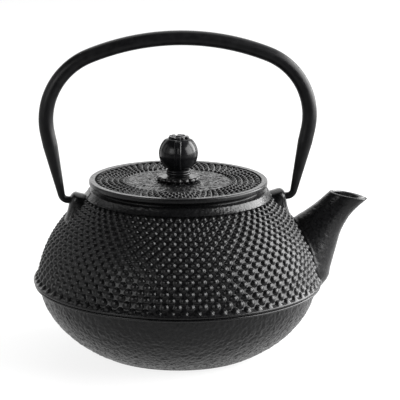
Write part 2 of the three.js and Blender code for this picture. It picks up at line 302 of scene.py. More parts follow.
IRON_DARK, IRON_LIGHT = (0.002, 0.002, 0.0022), (0.004, 0.004, 0.0043)
IRON_FINISH = dict(matt=0.32, gloss=0.26, coarse=1.3, fine=0.5, relief_mm=0.015, specular=0.17)

iron = surface("cast_iron", IRON_DARK, IRON_LIGHT, **IRON_FINISH)
iron_lid = surface("cast_iron_lid", IRON_DARK, IRON_LIGHT, **IRON_FINISH)
enamel = surface(
    "inside_enamel", (0.006, 0.006, 0.0065), (0.009, 0.009, 0.0095),
    matt=0.3, gloss=0.2, coarse=5.0, fine=1.2, relief_mm=0.02,
)
bail_black = surface(
    "bail_black", (0.003, 0.003, 0.0033), (0.005, 0.005, 0.0054),
    matt=0.4, gloss=0.33, coarse=4.0, fine=0.6, relief_mm=0.012, specular=0.11,
)
knob_black = surface(
    "knob_black", (0.003, 0.003, 0.0034), (0.005, 0.005, 0.0055),
    matt=0.24, gloss=0.18, coarse=3.0, fine=1.0, relief_mm=0.006, specular=0.13,
)
steel = surface(
    "steel", (0.52, 0.52, 0.53), (0.6, 0.6, 0.61),
    matt=0.3, gloss=0.22, coarse=6.0, fine=0.5, relief_mm=0.003, metallic=1.0,
)
steel_mesh = surface(
    "steel_mesh", (0.45, 0.45, 0.46), (0.55, 0.55, 0.56),
    matt=0.36, gloss=0.28, coarse=3.0, fine=0.4, relief_mm=0.003, metallic=1.0,
)


# ---- Spout ----

# Each section is an ellipse, by its upper and lower point in the plane y = 0 and its whole width.
SPOUT_UPPER = [
    (48, 50), (52, 60), (60, 68.5), (67.7, 75.3), (73.6, 79.1), (80, 83.6), (84, 87.1), (87.9, 90.6),
]
SPOUT_LOWER = [
    (80, 31), (87.2, 39.8), (89, 46.8), (91.8, 57.5), (94.6, 67.5), (99.3, 76), (103.9, 81.0),
    (110.0, 86.3),
]
SPOUT_WIDTH = [(34,), (37,), (32,), (26,), (22,), (18.4,), (16.8,), (17,)]
SPOUT_AROUND = 200
SPOUT_WALL = 2.6
NOSE_THICKER = 0.9
LIP_WALL = 2.1
LIP_ROUND = 1.15
LIP_STEPS = 6


def spout_rings(shares, insets, shifts):
    """Rings of the spout at these shares of its length. Each is moved in by an inset and on by a
    shift; both are larger at the nose, on the spout's lower side."""
    shares = np.array(shares, float)
    upper, lower = spline(SPOUT_UPPER, shares), spline(SPOUT_LOWER, shares)
    half_width = spline(SPOUT_WIDTH, shares) / 2
    mouth = spline(SPOUT_UPPER, [0.98, 1]) + spline(SPOUT_LOWER, [0.98, 1])
    onward = (mouth[1] - mouth[0]) / np.linalg.norm(mouth[1] - mouth[0])
    angle = 2 * np.pi * np.arange(SPOUT_AROUND) / SPOUT_AROUND
    thicker = 1 + NOSE_THICKER * ((1 + np.cos(angle)) / 2) ** 4
    insets = np.array(insets, float)[:, None] * thicker
    shifts = np.array(shifts, float)[:, None] * thicker
    middle, reach = (upper + lower) / 2, (lower - upper) / 2
    share = 1 - insets / np.linalg.norm(reach, axis=1, keepdims=True)
    x = middle[:, :1] + onward[0] * shifts + reach[:, :1] * share * np.cos(angle)
    z = middle[:, 1:] + onward[1] * shifts + reach[:, 1:] * share * np.cos(angle)
    y = (half_width - insets) * np.sin(angle)
    return np.stack([x, y, z], -1)


def ring_normals(rings):
    """Unit normals that point out of a tube of rings."""
    onward = np.gradient(rings, axis=0)
    round_ = np.roll(rings, -1, 1) - np.roll(rings, 1, 1)
    normal = np.cross(onward, round_)
    normal /= np.linalg.norm(normal, axis=2, keepdims=True)
    outwards = rings - rings.mean(axis=1, keepdims=True)
    if (normal * outwards).sum() < 0:
        normal = -normal
    return normal


def spout_outer():
    """Rings of the spout's skin, with a rounded lip at the end."""
    body = np.linspace(0, 0.985, 118)
    turn = np.radians(np.linspace(0, 90, LIP_STEPS))
    insets = np.concatenate([0 * body, LIP_ROUND * (1 - np.cos(turn))])
    shifts = np.concatenate([0 * body, LIP_ROUND * (np.sin(turn) - 1)])
    return spout_rings(np.concatenate([body, np.ones(LIP_STEPS)]), insets, shifts)


def spout_inner():
    """Rings of the channel through the spout, a little past its lip."""
    body = np.linspace(0.12, 0.98, 60)
    turn = np.radians(np.linspace(0, 90, LIP_STEPS))
    wall = SPOUT_WALL + (LIP_WALL - SPOUT_WALL) * step_up(body, 0.6, 1)
    insets = np.concatenate([
        wall, LIP_WALL - LIP_ROUND * (1 - np.cos(turn)), [LIP_WALL - LIP_ROUND - 0.1],
    ])
    shifts = np.concatenate([0 * body, LIP_ROUND * (np.sin(turn) - 1), [4]])
    return spout_rings(np.concatenate([body, np.ones(LIP_STEPS + 1)]), insets, shifts)


# ---- Pot ----

# Stud rows go down the shoulder from the collar's top edge, a little further apart each time.
STUD_ROWS = 18
FIRST_STUD = 6.2
STUD_STEP = 2.89
STUD_STEP_GROWTH = 0.0185
STUD_START = math.radians(-90.93)
STUD_HEIGHT = 1.3
STUD_SHARE = 0.445
STUD_POINT = 2.5
COLLAR_BAND = 4.6
COLLAR_STEP = 0.25
COLLAR_GRAIN, STUD_GRAIN = 0.08, 0.02
BOWL_GRAIN_COARSE, BOWL_GRAIN_FINE = 0.2, 0.18
BOWL_GRAIN_DEPTH = 0.26
# The relief of the studs fades by this share over the last stretch above the flange.
FLANGE_FADE, FLANGE_FADE_LENGTH = 0.9, 2.2
STEPS_A_ROW = 9

row_numbers = np.arange(STUD_ROWS)
stud_places = FIRST_STUD + STUD_STEP * row_numbers + STUD_STEP_GROWTH * row_numbers**2
stud_steps = np.gradient(stud_places)

SHOULDER_CURVE = [SHOULDER_FOOT, (76.4, 63.2), (70.8, 73.0), COLLAR_FOOT]
shoulder_line = np.vstack([
    bezier([COLLAR_TOP, (52.2, 91.1), COLLAR_FOOT], 20),
    bezier(SHOULDER_CURVE, 200)[::-1][1:],
    bezier([(82.7, 41.9), (80.7, 44.6), SHOULDER_FOOT], 40)[::-1][1:],
])
shoulder_length = lengths(shoulder_line)[-1]


def shoulder_places():
    """How far down from the collar's top edge each ring of points lies."""
    rows = [np.linspace(0.4, COLLAR_BAND, 18), [COLLAR_BAND + 0.12]]
    edges = np.concatenate([[COLLAR_BAND + COLLAR_STEP], stud_places, [shoulder_length]])
    for start, end in zip(edges, edges[1:]):
        steps = max(2, round((end - start) / stud_steps.mean() * STEPS_A_ROW))
        rows.append(np.linspace(start, end, steps, endpoint=False))
    return np.concatenate(rows)


def stud(share, height):
    """Height of a stud, a steep round dome, at this share of its radius."""
    return height * (1 - np.clip(share, 0, 1) ** STUD_POINT)


def stud_relief(places, outline, kept):
    """Height of the studs over the ground, on the grid of the shoulder. kept says which studs there
    are."""
    angle = 2 * np.pi * np.arange(COLUMNS) / COLUMNS - STUD_START
    pitch = 2 * np.pi / STUDS_ROUND
    relief = np.zeros((len(places), COLUMNS))
    for row, (place, step) in enumerate(zip(stud_places, stud_steps)):
        radius = along(shoulder_line, [place])[0, 0]
        size = STUD_SHARE * math.hypot(step, radius * pitch / 2)
        turn = angle / pitch - 0.5 * (row % 2)
        nearest = np.round(turn)
        across = (turn - nearest) * pitch * outline[:, :1]
        down = (places - place)[:, None]
        there = kept[row][nearest.astype(int) % STUDS_ROUND]
        relief = np.maximum(relief, stud(np.hypot(across, down) / size, STUD_HEIGHT) * there)
    return relief


def stud_centres():
    """The middle of every stud, row by row."""
    pitch = 2 * np.pi / STUDS_ROUND
    rows = []
    for row, (radius, z) in enumerate(along(shoulder_line, stud_places)):
        angle = pitch * (np.arange(STUDS_ROUND) + 0.5 * (row % 2)) + STUD_START
        rows.append(np.stack([radius * np.cos(angle), radius * np.sin(angle), 0 * angle + z], 1))
    return np.array(rows)


class SpoutDistance:
    """How far a point is outside the spout's skin."""

    def __init__(self, rings):
        self.points = rings.reshape(-1, 3)
        self.normals = ring_normals(rings).reshape(-1, 3)
        self.tree = KDTree(len(self.points))
        for i, point in enumerate(self.points):
            self.tree.insert(point, i)
        self.tree.balance()

    def of(self, points):
        """Distances of these points; a point inside the spout gets a negative one."""
        far_away = 99.0
        found = np.full(len(points), far_away)
        near = (points[:, 0] > 40) & (np.abs(points[:, 1]) < 45)
        for i in np.flatnonzero(near):
            _, k, distance = self.tree.find(points[i])
            side = np.dot(points[i] - self.points[k], self.normals[k])
            found[i] = distance if side > 0 else -distance
        return found


EAR_HALF_WIDTH = 7.0
EAR_MIDDLE = np.array([55.0, 84.0])
EAR_ARCH = 3.4
EAR_FACE = 6.4
EAR_DOME = 0.9
EAR_FOOT_Z = 76.5
EAR_GRAIN = 0.14


def ear_distance(points):
    """How far a point of the shoulder is from the foot of the nearer ear."""
    aside = np.maximum(np.abs(points[:, 1]) - EAR_HALF_WIDTH, 0)
    below = 1.3 * np.maximum(EAR_FOOT_Z - points[:, 2], 0)
    return np.hypot(aside, below)


def fillet(distance, size):
    """Rise of a surface towards a joined solid at this distance, for a soft root of this size."""
    return np.clip(size - np.maximum(distance, 0), 0, None) ** 2 / (4 * size)


# Studs whose middle is nearer than this gap to the spout or an ear are left out.
SPOUT_GAP, EAR_GAP = 0.3, 0.4
SPOUT_FILLET, EAR_FILLET = 1.5, 1.2


def pot_outside(spout):
    """The pot's solid outer form with its studs; the seat for the lid is on top."""
    lower = np.vstack([
        [(30.0, 0.0), (45.8, 0.0), (46.6, 0.02)],
        bezier([(FOOT_RADIUS, 0.15), (58.5, 5.1), (77.1, 18.3), BOWL_TOP], 110),
        [(80.9, 38.6)],
        arc((81.75, 39.35), 0.75, -90, 70, 8),
        [(81.75, 40.3), (81.6, 40.5)],
        arc((82.2, 41.25), 0.8, -130, 60, 10),
    ])
    places = shoulder_places()
    shoulder = along(shoulder_line, places)[::-1]
    places = places[::-1]
    top = np.array([
        (50.65, 93.7), (50.45, 93.93), (50.1, 94.0), (47.5, 93.9), (47.1, 94.1), (47.0, 94.5),
        (47.2, 95.0), (48.4, 96.5), (48.3, SEAT_Z), (40, SEAT_Z),
    ])
    outline = np.vstack([lower, shoulder, top])
    rings = turned(outline, COLUMNS)
    raised = np.zeros(rings.shape[:2])
    foot_points, bead_points = 3, 22
    bowl_rows = slice(foot_points, len(lower) - bead_points)
    bowl = rings[bowl_rows]
    from_foot = step_up(np.arange(bowl.shape[0]), 0, 4)[:, None]
    coarse_grain = BOWL_GRAIN_COARSE * roughness_at(bowl * (1, 1, 0.8), size=1.3, seed=1)
    fine_grain = BOWL_GRAIN_FINE * roughness_at(bowl, size=0.9, seed=2)
    raised[bowl_rows] = from_foot * (coarse_grain + fine_grain - BOWL_GRAIN_DEPTH)

    shoulder_rows = slice(len(lower), len(lower) + len(shoulder))
    centres = stud_centres()
    flat_centres = centres.reshape(-1, 3)
    free = (spout.of(flat_centres) > SPOUT_GAP) & (ear_distance(flat_centres) > EAR_GAP)
    kept = free.reshape(centres.shape[:2])
    ground = STUD_HEIGHT * step_up(places, COLLAR_BAND, COLLAR_BAND + COLLAR_STEP)
    fade_start = shoulder_length - FLANGE_FADE_LENGTH
    to_flange = 1 - FLANGE_FADE * step_up(places, fade_start, shoulder_length)
    soft_root = fillet(ear_distance(rings[shoulder_rows].reshape(-1, 3)), EAR_FILLET)
    soft_root = soft_root.reshape(len(places), COLUMNS)
    relief = stud_relief(places, shoulder, kept)
    grain_height = np.where(places < COLLAR_BAND, COLLAR_GRAIN, STUD_GRAIN)[:, None]
    grain = grain_height * roughness_at(rings[shoulder_rows], size=0.75, seed=3)
    raised[shoulder_rows] = (relief - ground[:, None] + grain) * to_flange[:, None] + soft_root

    rings = turned(outline, COLUMNS, raised)
    return new_object("pot_shell", *skin(rings, [(0, 0, 0), (0, 0, SEAT_Z)]), iron)


def pot_inside():
    """The hollow of the pot, from the floor up through the mouth and past it."""
    above_mouth = 98.0
    bowl = bezier([(FOOT_RADIUS, 0.0), (58.5, 5.0), (77.1, 18.3), BOWL_TOP], 40)
    bowl = bowl - WALL * outward(bowl)
    bowl = bowl[bowl[:, 1] > FLOOR_TOP + 0.5]
    corner = bezier([(bowl[0, 0] - 6, FLOOR_TOP), (bowl[0, 0] - 2.2, FLOOR_TOP), bowl[0]], 6)
    shoulder = bezier(SHOULDER_CURVE, 40)
    shoulder = shoulder - WALL * outward(shoulder)
    mouth = [
        (MOUTH_RADIUS, 88.6), (MOUTH_RADIUS, 90.5), (MOUTH_RADIUS, 93.0), (43.3, 93.3), (43.6, LEDGE_Z),
        (45.9, LEDGE_Z), (46.1, 93.5), (LEDGE_RADIUS, 93.7), (LEDGE_RADIUS, 96.1), (46.35, 96.45),
        (46.7, 96.75), (46.7, above_mouth),
    ]
    outline = np.vstack([[(12, FLOOR_TOP), (30, FLOOR_TOP)], corner, bowl[1:], shoulder[:-2], mouth])
    ends = [(0, 0, FLOOR_TOP), (0, 0, above_mouth)]
    return new_object("inside", *skin(turned(outline, 288), ends), enamel)


def spout_solid(rings):
    """The spout with a soft root where it leaves the shoulder."""
    line = np.vstack([shoulder_line, [(82.5, 39.3), (80, 38.6)]])
    points = rings.reshape(-1, 3)
    radius = np.hypot(points[:, 0], points[:, 1])
    flat = np.stack([radius, points[:, 2]], 1)
    distance = np.min(np.linalg.norm(flat[:, None] - line[None, ::3], axis=2), axis=1)
    rise = fillet(distance, SPOUT_FILLET).reshape(rings.shape[:2])
    rise += 0.05 * roughness_at(rings, size=1.3, seed=4) + 0.08 * roughness_at(rings, size=0.8, seed=7)
    rise[-LIP_STEPS - 2:] = 0
    shaped = rings + ring_normals(rings) * rise[..., None]
    return new_object("spout", *skin(shaped, [shaped[0].mean(0), shaped[-1].mean(0)]), iron)


def ear_solid(side):
    """A lug with a softly arched top and a slightly domed face on each side."""
    corners = [
        (65.4, 76), (63.2, 82.5), (62.1, 88.4), (61.2, 91.2), (59, 92.8), (56, 92.2), (52.6, 91.3),
    ]
    face = spline(corners, np.linspace(0, 1, 31))
    outline = np.vstack([[(46, 90.4), (46, 76)], face])
    if side > 0:
        outline = outline[::-1]
    reach = outline - EAR_MIDDLE
    size = np.linalg.norm(reach, axis=1, keepdims=True)
    turn = np.radians(np.linspace(-90, 90, 33))
    stations = [(EAR_FACE * math.sin(t), 1 - EAR_ARCH * (1 - math.cos(t)) / size) for t in turn]
    flat = stations[-1][1]
    dome_shares = (0.9, 0.8, 0.65, 0.5, 0.35, 0.2)
    domes = [(EAR_FACE + EAR_DOME * (1 - share**2), flat * share) for share in dome_shares]
    stations = [(-y, share) for y, share in domes[::-1]] + stations + domes
    rings = []
    for y, share in stations:
        points = EAR_MIDDLE + reach * share
        rings.append(np.stack([side * points[:, 0], 0 * points[:, 0] + y, points[:, 1]], 1))
    rings = np.array(rings)
    rings[..., 1] += EAR_GRAIN * roughness_at(rings, size=1.5, seed=8)
    ends = [(side * EAR_MIDDLE[0], way * (EAR_FACE + EAR_DOME), EAR_MIDDLE[1]) for way in (-1, 1)]
    return new_object("ear", *skin(rings, ends), iron)


def hook_hole(side):
    """The blind hole in an ear that a hook of the bail goes into."""
    radius, chamfer, inner_x, outer_x = 2.45, 0.4, 54.5, 75
    angle = 2 * np.pi * np.arange(48) / 48
    rows = []
    for x, reach in ((inner_x, radius - chamfer), (inner_x + chamfer, radius), (outer_x, radius)):
        y, z = side * reach * np.cos(angle), reach * np.sin(angle) + hinge[2]
        rows.append(np.stack([0 * angle + side * x, y, z], 1))
    ends = [(side * inner_x, 0, hinge[2]), (side * outer_x, 0, hinge[2])]
    return new_object("hole", *skin(np.array(rows), ends), iron)


def make_pot():
    outer, inner = spout_outer(), spout_inner()
    shell = pot_outside(SpoutDistance(outer[:-LIP_STEPS]))
    channel = new_object("channel", *skin(inner, [inner[0].mean(0), inner[-1].mean(0)]), enamel)
    join_and_cut(
        shell,
        [spout_solid(outer), ear_solid(1), ear_solid(-1)],
        [pot_inside(), channel, hook_hole(1), hook_hole(-1)],
    )
    return finish_piece(shell, "pot", ["pot_body"], sharp=38)


make_pot()


# ---- Bail ----

CROWN_BEND = 137.0
SHOULDER_BEND = 38.7
SHOULDER_START = 21.7
LEG_LEAN = 12.0
HOOK_BEND = 4.0
HOOK_TIP_X = 55.6
HOOK_RADIUS = 2.0
TAPER = (91.0, 120.0)


def bail_line():
    """Half of the bail's centre line in the plane y = 0, from the hook's tip to the crown's middle."""
    lean = math.radians(LEG_LEAN)
    start = math.radians(SHOULDER_START)
    crown = np.array([0, BAIL_TOP - BAIL_RADIUS - CROWN_BEND])
    shoulder = crown + (CROWN_BEND - SHOULDER_BEND) * np.array([math.sin(start), math.cos(start)])
    leg_top = shoulder + SHOULDER_BEND * np.array([math.cos(lean), -math.sin(lean)])
    hook_z = hinge[2] + HOOK_BEND
    hook_x = leg_top[0] - (leg_top[1] - hook_z) * math.tan(lean) - HOOK_BEND / math.cos(lean)
    return np.vstack([
        [(HOOK_TIP_X, hinge[2])],
        arc((hook_x, hook_z), HOOK_BEND, -90, -LEG_LEAN, 16),
        arc(shoulder, SHOULDER_BEND, -LEG_LEAN, 90 - SHOULDER_START, 48),
        arc(crown, CROWN_BEND, 90 - SHOULDER_START, 90, 24)[1:],
    ])


def make_bail():
    """The handle: a round bar along its centre line, thinner towards the hooks."""
    half = bail_line()
    reach = lengths(half)
    half = along(half, np.linspace(0, reach[-1], 260))
    line = np.vstack([half, (half * (-1, 1))[::-1][1:]])
    tangent = np.gradient(line, axis=0)
    tangent /= np.linalg.norm(tangent, axis=1, keepdims=True)
    thickness = HOOK_RADIUS + (BAIL_RADIUS - HOOK_RADIUS) * np.clip(
        (line[:, 1] - TAPER[0]) / (TAPER[1] - TAPER[0]), 0, 1
    )
    thickness[[0, -1]] *= 0.8
    angle = 2 * np.pi * np.arange(48) / 48
    out = thickness[:, None] * np.cos(angle)
    x = line[:, :1] + tangent[:, 1:] * out
    z = line[:, 1:] - tangent[:, :1] * out
    y = thickness[:, None] * np.sin(angle)
    rings = np.stack([x, y, z], -1)
    made = new_object("bail_handle", *skin(rings, [rings[0].mean(0), rings[-1].mean(0)]), bail_black)
    return finish_piece(made, "bail", ["bail"])


make_bail()


# ---- Lid ----

LID_STUDS_ROUND = 65
LID_COLUMNS = 14 * LID_STUDS_ROUND
LID_STUD_RADII = (32.1, 35.3, 38.6, 41.9, 45.5)
LID_STUD_START = math.radians(-85.8)
LID_STUD_HEIGHT = 1.6
LID_STUD_SHARE = 0.46
LID_RING_STEP = 0.3
LID_EDGE_RADIUS = 0.9
LID_SPECKLE_COARSE, LID_SPECKLE_FINE = 0.36, 0.26
LID_SPECKLE_RISE = 0.62
LID_RIM_GRAIN, LID_RIM_DEPTH = 0.09, 0.1
SCREW_HOLE_RADIUS = 2.7
LID_TURN = math.radians(-9)


def lid_relief(rings, radii):
    """How far the lid's top is raised: rings of studs, a coarse speckle inside them, a plain rim."""
    angle = 2 * np.pi * np.arange(LID_COLUMNS) / LID_COLUMNS - LID_STUD_START
    pitch = 2 * np.pi / LID_STUDS_ROUND
    steps = np.gradient(LID_STUD_RADII)
    relief = np.zeros(rings.shape[:2])
    for row, (radius, step) in enumerate(zip(LID_STUD_RADII, steps)):
        turn = angle / pitch - 0.5 * (row % 2)
        across = (turn - np.round(turn)) * pitch * radii[:, None]
        size = LID_STUD_SHARE * math.hypot(step, radius * pitch / 2)
        share = np.hypot(across, radii[:, None] - radius) / size
        relief = np.maximum(relief, stud(share, LID_STUD_HEIGHT))
    speckle_full, speckle_end = LID_STUD_RADII[0] - 2.3, LID_STUD_RADII[0] - 1.8
    in_middle = step_up(-radii, -speckle_end, -speckle_full)[:, None]
    coarse_speckle = LID_SPECKLE_COARSE * roughness_at(rings, size=1.6, seed=5)
    fine_speckle = LID_SPECKLE_FINE * roughness_at(rings, size=0.8, seed=6)
    relief += in_middle * (coarse_speckle + fine_speckle + LID_SPECKLE_RISE)
    rim_inner, rim_outer = LID_STUD_RADII[-1] + 1.8, LID_STUD_RADII[-1] + 2.1
    inside_rim = step_up(-radii, -rim_outer, -rim_inner)[:, None]
    rim = LID_RIM_GRAIN * roughness_at(rings, size=1.0, seed=9) - LID_RIM_DEPTH
    return inside_rim * (relief - LID_STUD_HEIGHT) + rim


def make_lid():
    """A plate on the pot's mouth, with a skirt and a boss for the screw under it."""
    low, bottom, hole = lid_low[2], SEAT_Z, SCREW_HOLE_RADIUS
    boss, boss_low = 9.0, 94.4
    skirt_in, skirt_out = 38.4, 41.2
    under = [
        (hole, boss_low), (boss - 0.4, boss_low), (boss, boss_low + 0.4), (boss + 0.2, bottom - 0.4),
        (boss + 0.8, bottom), (skirt_in - 0.8, bottom), (skirt_in - 0.1, bottom - 0.6),
        (skirt_in, low + 0.4), (skirt_in + 0.4, low), (skirt_out - 0.4, low), (skirt_out, low + 0.4),
        (skirt_out, bottom - 0.5), (skirt_out + 0.5, bottom), (LID_RADIUS - 1.2, bottom),
    ]
    inward = LID_RADIUS - LID_EDGE_RADIUS
    edge_low = bezier([(inward, bottom), (LID_RADIUS - 0.1, bottom), (LID_RADIUS, bottom + 0.8)], 8)
    edge_high = arc((inward, LID_TOP - LID_EDGE_RADIUS), LID_EDGE_RADIUS, 0, 84, 8)
    radii = np.concatenate([np.arange(LID_RADIUS - 1.2, 12.0, -LID_RING_STEP), [11.0, 8.0, hole]])
    top = np.stack([radii, 0 * radii + LID_TOP], 1)
    outline = np.vstack([under, edge_low, edge_high, top])
    rings = turned(outline, LID_COLUMNS)
    raised = np.zeros(rings.shape[:2])
    raised[-len(top):] = lid_relief(rings[-len(top):], radii)
    rings = turned(outline, LID_COLUMNS, raised)
    made = new_object("lid_plate", *skin(rings), iron_lid)
    return finish_piece(made, "lid", ["lid"], sharp=38)


make_lid()


# ---- Knob and its seat ----

SEAT_LOBES = 16
LOBE_START_RADIUS = 7.6
LOBE_NOTCH, LOBE_GROOVE = 0.055, 0.35
KNOB_NECK_TOP = 105.2
KNOB_HOLE_TOP = 110.6
BALL_Z = 114.45
RIB_HALF_WIDTH = 1.95
RIB_HEIGHT = 0.45
RIB_EDGE = 0.45
RIB_CREASE_WIDTH, RIB_CREASE_DEPTH = 0.4, 0.55
FLOWER_RADIUS = 6.2
FLOWER_FOOT = 123.0
KNOB_HOLE_RADIUS = 2.4
KNOB_COLUMNS = 288


def make_knob_seat():
    """The rosette: a thin disc with creases between its lobes."""
    low, high, reach = seat_low[2], seat_high[2], seat_high[1]
    hole = SCREW_HOLE_RADIUS
    outline = np.vstack([
        [(hole, low), (reach - 0.5, low), (reach - 0.1, low + 0.2)],
        bezier([(reach, low + 0.4), (reach, high - 0.5), (reach - 0.9, high)], 8),
        [(r, high - 0.3 * step_up(reach - r, 1.3, 3.5)) for r in np.linspace(reach - 1.4, hole, 26)],
    ])
    rings = turned(outline, 16 * SEAT_LOBES)
    angle = 2 * np.pi * np.arange(rings.shape[1]) / rings.shape[1]
    lobe = np.abs(np.cos(SEAT_LOBES * angle / 2)) ** 0.8
    crease = 1 - lobe
    share = step_up(outline[:, 0], LOBE_START_RADIUS, reach)[:, None]
    rings[..., :2] *= (1 - LOBE_NOTCH * share * crease)[..., None]
    rings[..., 2] -= LOBE_GROOVE * share * crease**2 * (outline[:, 1:] > low + 1)
    rings[..., 2] = np.clip(rings[..., 2], low, high)
    made = new_object("knob_rosette", *skin(rings), iron_lid)
    made.rotation_euler.z = LID_TURN
    return finish_piece(made, "lid", ["knob_seat"])


def make_knob():
    """The ball with four creased ribs, on a beaded neck with a hole for the screw."""
    foot = knob_low[2]
    ball = KNOB_RADIUS - RIB_HEIGHT * 0.9
    start = math.degrees(math.asin((KNOB_NECK_TOP - BALL_Z) / KNOB_RADIUS))
    end = math.degrees(math.asin((FLOWER_FOOT + 0.3 - BALL_Z) / KNOB_RADIUS))
    ball_arc = arc((0, BALL_Z), ball, start, end, 64)
    neck = np.vstack([
        [(KNOB_HOLE_RADIUS, KNOB_HOLE_TOP), (KNOB_HOLE_RADIUS, foot)],
        [(6.0, foot), (6.4, foot + 0.2), (6.4, foot + 0.75)],
        arc((6.5, foot + 1.6), 0.75, -75, 62, 8),
        arc((6.5, foot + 3.0), 0.7, -55, 80, 8),
    ])
    outline = np.vstack([neck, ball_arc])
    rings = turned(outline, KNOB_COLUMNS)
    angle = 2 * np.pi * np.arange(KNOB_COLUMNS) / KNOB_COLUMNS
    quarter = np.pi / 2
    off = (angle / quarter - np.round(angle / quarter)) * quarter
    across = np.abs(off) * outline[:, :1]
    rib = 1 - step_up(across, RIB_HALF_WIDTH - RIB_EDGE, RIB_HALF_WIDTH)
    crease = RIB_CREASE_DEPTH * np.exp(-((across / RIB_CREASE_WIDTH) ** 2))
    high = outline[:, 1]
    above_neck = step_up(high, KNOB_NECK_TOP + 0.3, KNOB_NECK_TOP + 1.2)
    below_flower = 1 - step_up(high, FLOWER_FOOT - 1.5, FLOWER_FOOT + 0.2)
    raised = RIB_HEIGHT * (rib - crease) * (above_neck * below_flower)[:, None]
    rings = turned(outline, KNOB_COLUMNS, raised)
    top = ball_arc[-1, 1]
    ends = [(0, 0, KNOB_HOLE_TOP), (0, 0, top)]
    made = new_object("knob_ball", *skin(rings, ends), knob_black)
    made.rotation_euler.z = LID_TURN
    return finish_piece(made, "lid", ["knob"])


def make_blossom():
    """Five notched petals round a domed middle, in low relief on top of the ball."""
    columns = 240
    angle = 2 * np.pi * np.arange(columns) / columns
    petal = 2 * np.pi / 5
    off = np.abs(angle / petal - np.round(angle / petal)) * 2
    rounding = 0.3 * off**3.2
    notch = 0.55 * np.exp(-((off / 0.14) ** 2))
    reach = FLOWER_RADIUS * (1 - rounding) - notch
    top = knob_high[2]
    boss_radius, boss_height = 1.9, 0.75
    shares = np.concatenate([np.linspace(1, 0.9, 5), np.linspace(0.85, 0.04, 26)])
    rings = []
    for z in (FLOWER_FOOT, FLOWER_FOOT + 0.6):
        rings.append(np.stack([reach * np.cos(angle), reach * np.sin(angle), 0 * angle + z], 1))
    for share in shares:
        radius = share * reach
        rim = 0.35 * step_up(share, 0.62, 0.82) * (1 - step_up(share, 0.9, 1.0))
        gap = 0.75 * np.exp(-(((1 - off) * share / 0.16) ** 2)) * step_up(share, 0.25, 0.5)
        edge = 0.45 * step_up(share, 0.9, 1.0)
        boss = boss_height * np.sqrt(np.clip(1 - (radius / boss_radius) ** 2, 0, 1))
        z = top - boss_height + rim - gap - edge + boss
        rings.append(np.stack([radius * np.cos(angle), radius * np.sin(angle), z], 1))
    ends = [(0, 0, FLOWER_FOOT), (0, 0, top)]
    made = new_object("knob_blossom", *skin(np.array(rings), ends), knob_black)
    made.rotation_euler.z = LID_TURN
    return finish_piece(made, "lid", ["knob"])


make_knob_seat()
make_knob()
make_blossom()


# ---- Washer and screw under the lid ----

def make_washer():
    low, high, reach = washer_low[2], washer_high[2], washer_high[1]
    hole, edge = SCREW_HOLE_RADIUS, 0.2
    outline = [
        (hole + edge, low), (reach - edge, low), (reach, low + edge), (reach, high - edge),
        (reach - edge, high), (hole + edge, high), (hole, high - edge), (hole, low + edge),
    ]
    made = new_object("lid_washer", *skin(turned(outline, 96)), steel)
    return finish_piece(made, "lid", ["knob_washer"], sharp=35)


def make_screw():
    """A domed head with a slot, and a threaded shank."""
    low, high, reach = screw_low[2], screw_high[2], screw_high[1]
    head_top = washer_low[2]
    shank = 2.2
    thread_start, thread_end, half_pitch, thread_depth = head_top + 7.5, high - 0.8, 0.35, 0.3
    thread = enumerate(np.arange(thread_start, thread_end, half_pitch))
    outline = np.vstack([
        [(1.5, low), (reach - 2.0, low + 0.05)],
        arc((reach - 1.4, low + 1.45), 1.4, -75, 0, 8),
        [(reach, head_top - 0.2), (reach - 0.2, head_top), (shank, head_top)],
        [(shank - thread_depth * (i % 2), z) for i, z in thread],
        [(shank - 0.8, high)],
    ])
    made = new_object("lid_screw", *skin(turned(outline, 72), [(0, 0, low), (0, 0, high)]), steel)
    half_width, depth, half_length = 0.6, 1.2, reach + 2
    plan = [
        (-half_length, -half_width), (half_length, -half_width), (half_length, half_width),
        (-half_length, half_width),
    ]
    corners = [(x, y, z) for z in (low - 1, low + depth) for x, y in plan]
    sides = [[3, 2, 1, 0], [4, 5, 6, 7], [0, 1, 5, 4], [1, 2, 6, 5], [2, 3, 7, 6], [3, 0, 4, 7]]
    slot = new_object("slot", corners, sides, steel)
    join_and_cut(made, [], [slot])
    return finish_piece(made, "lid", ["knob_screw"], sharp=35)


make_washer()
make_screw()


# ---- Infuser ----

WIRE_PITCH = 1.2
WIRE_SIDES = 5


def make_turned_sheet(name, outline, nodes):
    """A steel piece of the infuser from the closed outline of its sheet."""
    made = new_object(name, *skin(turned(outline, 192)), steel)
    return finish_piece(made, "infuser", nodes, sharp=40)


def make_infuser_rim():
    """A flange over the pot's ledge, a neck, and a narrower collar below it."""
    low, top, flange = rim_low[2], rim_high[2], rim_high[1]
    neck, collar, sheet, step_z = 42.8, 39.5, 0.8, 84.6
    outer = np.vstack([
        [(collar, low), (collar, step_z - 1.9)],
        bezier([
            (collar, step_z - 1.6), (collar, step_z - 0.8), (neck - 1.2, step_z - 0.5),
            (neck, step_z + 1.0),
        ], 10),
        [(neck, LEDGE_Z - 0.6), (neck + 0.15, LEDGE_Z - 0.1)],
        [(neck + 0.6, LEDGE_Z), (flange - 0.4, LEDGE_Z)],
    ])
    lip = arc((flange - 0.4, LEDGE_Z + 0.4), 0.4, -60, 90, 6)
    inner = np.vstack([
        [(neck + 0.2, top), (neck - 0.5, top - 0.1), (neck - sheet, top - 0.7)],
        bezier([
            (neck - sheet, step_z + 1.6), (neck - 1.6, step_z + 0.3), (collar - sheet, step_z + 0.1),
            (collar - sheet, step_z - 1.0),
        ], 10),
        [(collar - sheet, low)],
    ])
    make_turned_sheet("infuser_flange", np.vstack([outer, lip, inner]), ["infuser_rim"])


